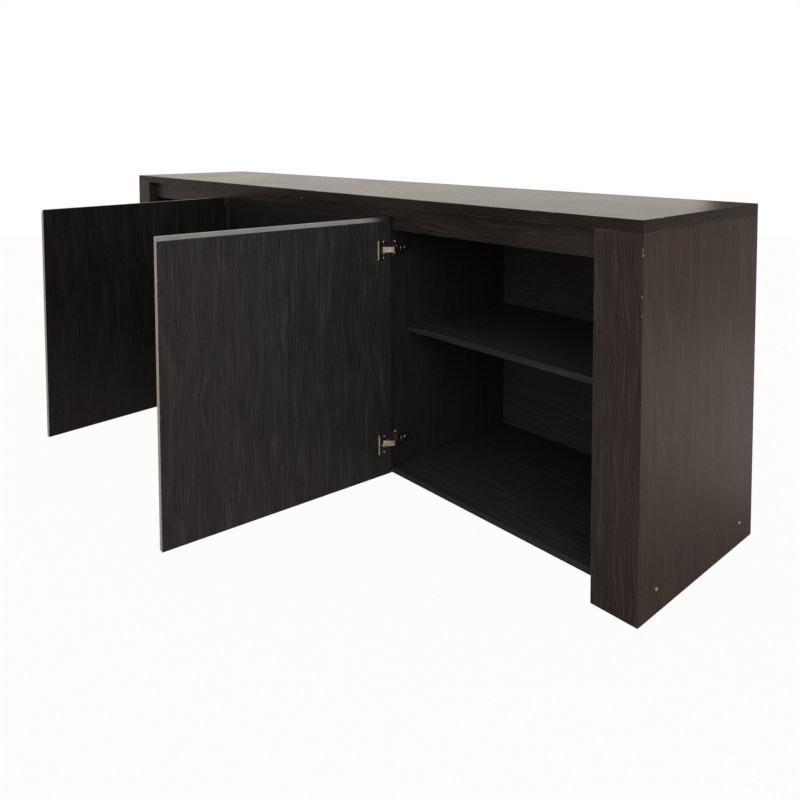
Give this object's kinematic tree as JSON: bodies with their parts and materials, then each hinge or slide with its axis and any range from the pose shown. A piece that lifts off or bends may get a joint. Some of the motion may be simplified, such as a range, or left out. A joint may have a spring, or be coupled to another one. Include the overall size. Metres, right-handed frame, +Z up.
{
  "type": "office credenza",
  "caption": "Long low office credenza with a thick leg at each end, hinged cupboard doors standing open at both ends, file drawers in the middle and a shelf in each cupboard.",
  "frame": {"origin": "on the floor at the middle of the cabinet's footprint, under the centre foot", "axes": "+X along the cabinet to the right as seen from the front, +Y from the front to the back, +Z up"},
  "size_m": [2.32, 1.116, 0.78],
  "materials": {
    "wenge_top": "satin wood-grain laminate, grain along the top",
    "wenge_panel": "satin wood-grain laminate",
    "wenge_inside": "matt wood-grain laminate",
    "wenge_drawer": "matt wood-grain laminate",
    "hinge_nickel": "bright nickel plate",
    "runner_steel": "zinc plated",
    "foot_plastic": "moulded"
  },
  "bodies": {
    "carcass": {"top_panel": "wenge_top", "bottom_panel": "wenge_inside", "back_panel": "wenge_inside", "front_rail": "wenge_panel", "middle_rail": "wenge_inside", "foot_left": "foot_plastic", "foot_centre": "foot_plastic", "foot_right": "foot_plastic", "leg_front_left": "wenge_panel", "side_panel_left": "wenge_panel", "leg_inner_left": "wenge_inside", "leg_rear_left": "wenge_panel", "leg_base_left": "wenge_inside", "partition_left": "wenge_inside", "shelf_left": "wenge_inside", "shelf_cleat_left_inner": "wenge_inside", "shelf_cleat_left_outer": "wenge_inside", "hinge_arm_left_upper": "hinge_nickel", "hinge_arm_left_lower": "hinge_nickel", "leg_front_right": "wenge_panel", "side_panel_right": "wenge_panel", "leg_inner_right": "wenge_inside", "leg_rear_right": "wenge_panel", "leg_base_right": "wenge_inside", "partition_right": "wenge_inside", "shelf_right": "wenge_inside", "shelf_cleat_right_inner": "wenge_inside", "shelf_cleat_right_outer": "wenge_inside", "hinge_arm_right_upper": "hinge_nickel", "hinge_arm_right_lower": "hinge_nickel", "runner_upper_left": "runner_steel", "runner_upper_right": "runner_steel", "runner_lower_left": "runner_steel", "runner_lower_right": "runner_steel"},
    "left_door": {"door_left": "wenge_panel", "hinge_cup_left_upper": "hinge_nickel", "hinge_cup_left_lower": "hinge_nickel"},
    "right_door": {"door_right": "wenge_panel", "hinge_cup_right_upper": "hinge_nickel", "hinge_cup_right_lower": "hinge_nickel"},
    "left_hinge_links": {"hinge_link_left_upper": "hinge_nickel", "hinge_link_left_lower": "hinge_nickel"},
    "right_hinge_links": {"hinge_link_right_upper": "hinge_nickel", "hinge_link_right_lower": "hinge_nickel"},
    "upper_drawer": {"drawer_front_upper": "wenge_panel", "drawer_side_upper_left": "wenge_drawer", "drawer_side_upper_right": "wenge_drawer", "drawer_back_upper": "wenge_drawer", "drawer_floor_upper": "wenge_drawer", "slide_upper_left": "runner_steel", "slide_upper_right": "runner_steel"},
    "lower_drawer": {"drawer_front_lower": "wenge_panel", "drawer_side_lower_left": "wenge_drawer", "drawer_side_lower_right": "wenge_drawer", "drawer_back_lower": "wenge_drawer", "drawer_floor_lower": "wenge_drawer", "slide_lower_left": "runner_steel", "slide_lower_right": "runner_steel"}
  },
  "joints": [
    {"name": "left_door_hinge", "type": "hinge", "parent": "carcass", "child": "left_door", "pos_m": [-0.433, -0.2415, 0.3875], "axis": [0, 0, -1], "range_deg": [0, 94]},
    {"name": "right_door_hinge", "type": "hinge", "parent": "carcass", "child": "right_door", "pos_m": [0.433, -0.2415, 0.3875], "axis": [0, 0, 1], "range_deg": [0, 94]},
    {"name": "left_link_turn", "type": "hinge", "parent": "carcass", "child": "left_hinge_links", "pos_m": [-0.443, -0.2175, 0.3875], "axis": [0, 0, -1], "range_deg": [0, 94]},
    {"name": "right_link_turn", "type": "hinge", "parent": "carcass", "child": "right_hinge_links", "pos_m": [0.443, -0.2175, 0.3875], "axis": [0, 0, 1], "range_deg": [0, 94]},
    {"name": "upper_drawer_slide", "type": "slide", "parent": "carcass", "child": "upper_drawer", "axis": [0, -1, 0], "range_m": [0, 0.34]},
    {"name": "lower_drawer_slide", "type": "slide", "parent": "carcass", "child": "lower_drawer", "axis": [0, -1, 0], "range_m": [0, 0.34]}
  ],
  "couplings": [
    {"joint": "left_link_turn", "follows": "left_door_hinge", "ratio": 1},
    {"joint": "right_link_turn", "follows": "right_door_hinge", "ratio": 1}
  ]
}
